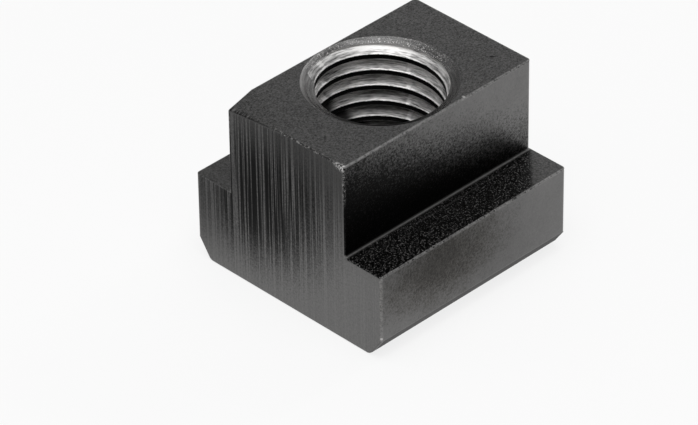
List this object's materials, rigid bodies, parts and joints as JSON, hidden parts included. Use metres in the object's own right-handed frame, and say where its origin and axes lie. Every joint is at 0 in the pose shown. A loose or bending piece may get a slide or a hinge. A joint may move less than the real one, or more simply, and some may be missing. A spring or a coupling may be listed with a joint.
{
  "type": "T-slot nut",
  "caption": "T-shaped steel nut with a threaded hole, countersunk at both ends, that slides in a machine table's slot and takes a clamping stud.",
  "frame": {"origin": "where the axis of the threaded hole meets the underside of the foot, which is the face it stands on", "axes": "+X along the slot, +Y across the slot, +Z along the threaded hole from the foot to the neck"},
  "size_m": [0.0354, 0.035, 0.028],
  "materials": {
    "blackened_steel": "black oxide over sawn and drawn steel, satin, with bare steel in the threaded hole"
  },
  "bodies": {
    "root": {"t_slot_nut": "blackened_steel"}
  },
  "joints": []
}
